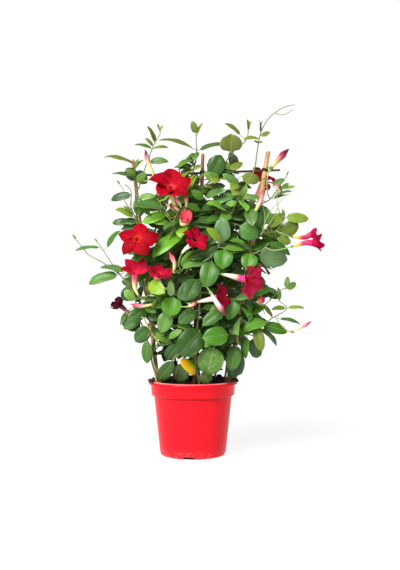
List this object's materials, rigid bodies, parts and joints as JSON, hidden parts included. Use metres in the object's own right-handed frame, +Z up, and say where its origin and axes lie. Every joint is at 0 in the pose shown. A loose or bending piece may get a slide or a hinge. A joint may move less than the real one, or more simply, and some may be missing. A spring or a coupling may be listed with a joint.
{
  "type": "potted mandevilla",
  "caption": "Climbing mandevilla with red trumpet blooms and glossy oval leaves, trained up bamboo canes and crossbars in a round red nursery pot filled with soil.",
  "frame": {"origin": "centre of the pot's underside", "axes": "+Z up along the pot's axis; -Y is the plant's front, where the blooms face; +X is to the right seen from the front"},
  "size_m": [0.4621, 0.239, 0.6619],
  "materials": {
    "pot": "satin moulded red plastic",
    "soil": "dark moist potting compost",
    "bamboo": "pale dry bamboo",
    "crossbar": "dark split cane with wire ties",
    "foliage": "glossy green leaves on pale green stems",
    "petal": "velvety crimson petals on a white to pink tube",
    "withered_petal": "dry maroon petals",
    "bud": "furled pink and crimson bud on a cream base"
  },
  "bodies": {
    "root": {"pot": "pot", "soil": "soil", "cane_left": "bamboo", "cane_middle": "bamboo", "cane_right": "bamboo", "crossbar_low": "crossbar", "crossbar_top": "crossbar", "back_left_shoot": "foliage", "back_left_vine": "foliage", "back_middle_vine": "foliage", "back_right_shoot": "foliage", "back_right_vine": "foliage", "centre_left_shoot": "foliage", "centre_low_shoot": "foliage", "centre_right_shoot": "foliage", "centre_shoot": "foliage", "front_low_right_shoot": "foliage", "front_vine": "foliage", "left_low_shoot": "foliage", "left_runner": "foliage", "left_side_shoot": "foliage", "left_vine": "foliage", "middle_vine": "foliage", "right_drooping_shoot": "foliage", "right_low_shoot": "foliage", "right_middle_shoot": "foliage", "right_shoot": "foliage", "right_thin_shoot": "foliage", "right_top_shoot": "foliage", "right_vine": "foliage", "tendril_shoot": "foliage", "top_left_shoot": "foliage", "upper_left_shoot": "foliage", "upper_right_shoot": "foliage", "bloom_behind_cane": "petal", "bloom_centre": "petal", "bloom_centre_left": "petal", "bloom_far_right": "petal", "bloom_far_right_low": "petal", "bloom_left": "petal", "bloom_low_left": "petal", "bloom_low_right": "petal", "bloom_right": "petal", "bloom_upper_left": "petal", "bloom_young": "petal", "bloom_withered": "withered_petal", "bud_before_cane": "bud", "bud_centre": "bud", "bud_centre_low": "bud", "bud_cluster": "bud", "bud_hanging": "bud", "bud_left_low": "bud", "bud_right_low": "bud", "bud_right_round": "bud", "bud_right_small": "bud", "bud_top_left": "bud", "bud_top_right": "bud"}
  },
  "joints": []
}
